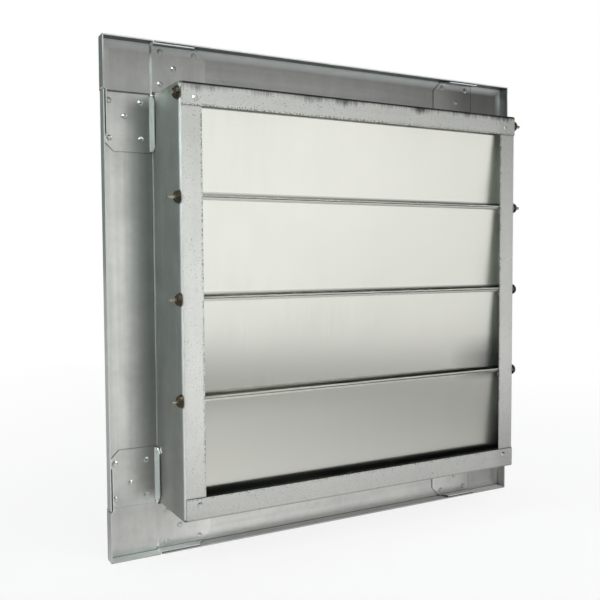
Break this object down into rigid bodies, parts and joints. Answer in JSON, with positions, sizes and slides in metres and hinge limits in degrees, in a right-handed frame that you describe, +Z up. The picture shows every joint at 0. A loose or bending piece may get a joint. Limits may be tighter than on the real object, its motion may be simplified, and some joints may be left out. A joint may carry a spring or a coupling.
{
  "type": "gravity shutter grille",
  "caption": "Square ventilation shutter in folded sheet metal with a wide clinched flange and top-hung aluminium blades that open together by air pressure.",
  "frame": {"origin": "middle of the square opening, in the back plane of the flange", "axes": "+Z up, +Y out of the back of the flange towards what it is fixed to, -Y towards the open front of the box, +X to the right seen from the front"},
  "size_m": [0.502, 0.0814, 0.502],
  "materials": {
    "galvanised_sheet": "hot-dip galvanised, dull spangle",
    "bracket_sheet": "galvanised, dull",
    "blade_aluminium": "mill finish, semi-bright",
    "zinc_rod": "zinc plated",
    "dark_spring_steel": "dark phosphated",
    "nylon": "natural nylon",
    "tie_bar_aluminium": "mill finish",
    "clip_steel": "zinc-plated spring steel"
  },
  "bodies": {
    "frame": {"frame_rail_left": "galvanised_sheet", "frame_rail_right": "galvanised_sheet", "frame_rail_top": "galvanised_sheet", "frame_rail_bottom": "galvanised_sheet", "corner_bracket_top_left": "bracket_sheet", "corner_bracket_top_right": "bracket_sheet", "corner_bracket_bottom_left": "bracket_sheet", "corner_bracket_bottom_right": "bracket_sheet", "bushing_left_1": "nylon", "bushing_right_1": "nylon", "bushing_left_2": "nylon", "bushing_right_2": "nylon", "bushing_left_3": "nylon", "bushing_right_3": "nylon", "bushing_left_4": "nylon", "bushing_right_4": "nylon"},
    "tie_bar": {"tie_bar": "tie_bar_aluminium"},
    "blade_1": {"blade_1": "blade_aluminium", "pivot_rod_1": "zinc_rod", "push_nut_left_1": "dark_spring_steel", "push_nut_right_1": "dark_spring_steel", "tie_clip_1": "clip_steel", "tie_pin_1": "zinc_rod", "pin_washer_1": "dark_spring_steel"},
    "blade_2": {"blade_2": "blade_aluminium", "pivot_rod_2": "zinc_rod", "push_nut_left_2": "dark_spring_steel", "push_nut_right_2": "dark_spring_steel", "tie_clip_2": "clip_steel", "tie_pin_2": "zinc_rod", "pin_washer_2": "dark_spring_steel"},
    "blade_3": {"blade_3": "blade_aluminium", "pivot_rod_3": "zinc_rod", "push_nut_left_3": "dark_spring_steel", "push_nut_right_3": "dark_spring_steel", "tie_clip_3": "clip_steel", "tie_pin_3": "zinc_rod", "pin_washer_3": "dark_spring_steel"},
    "blade_4": {"blade_4": "blade_aluminium", "pivot_rod_4": "zinc_rod", "push_nut_left_4": "dark_spring_steel", "push_nut_right_4": "dark_spring_steel", "tie_clip_4": "clip_steel", "tie_pin_4": "zinc_rod", "pin_washer_4": "dark_spring_steel"}
  },
  "joints": [
    {"name": "blade_1_turn", "type": "hinge", "parent": "frame", "child": "blade_1", "pos_m": [0, -0.0745, 0.19], "axis": [1, 0, 0], "range_deg": [0, 70]},
    {"name": "blade_2_turn", "type": "hinge", "parent": "frame", "child": "blade_2", "pos_m": [0, -0.0745, 0.0972], "axis": [1, 0, 0], "range_deg": [0, 70]},
    {"name": "blade_3_turn", "type": "hinge", "parent": "frame", "child": "blade_3", "pos_m": [0, -0.0745, 0.0044], "axis": [1, 0, 0], "range_deg": [0, 70]},
    {"name": "blade_4_turn", "type": "hinge", "parent": "frame", "child": "blade_4", "pos_m": [0, -0.0745, -0.0884], "axis": [1, 0, 0], "range_deg": [0, 70]},
    {"name": "tie_bar_swing", "type": "hinge", "parent": "blade_1", "child": "tie_bar", "pos_m": [0, -0.04872, 0.08655], "axis": [1, 0, 0], "range_deg": [-70, 0]}
  ],
  "couplings": [
    {"joint": "blade_2_turn", "follows": "blade_1_turn", "ratio": 1},
    {"joint": "blade_3_turn", "follows": "blade_1_turn", "ratio": 1},
    {"joint": "blade_4_turn", "follows": "blade_1_turn", "ratio": 1},
    {"joint": "tie_bar_swing", "follows": "blade_1_turn", "ratio": -1}
  ]
}
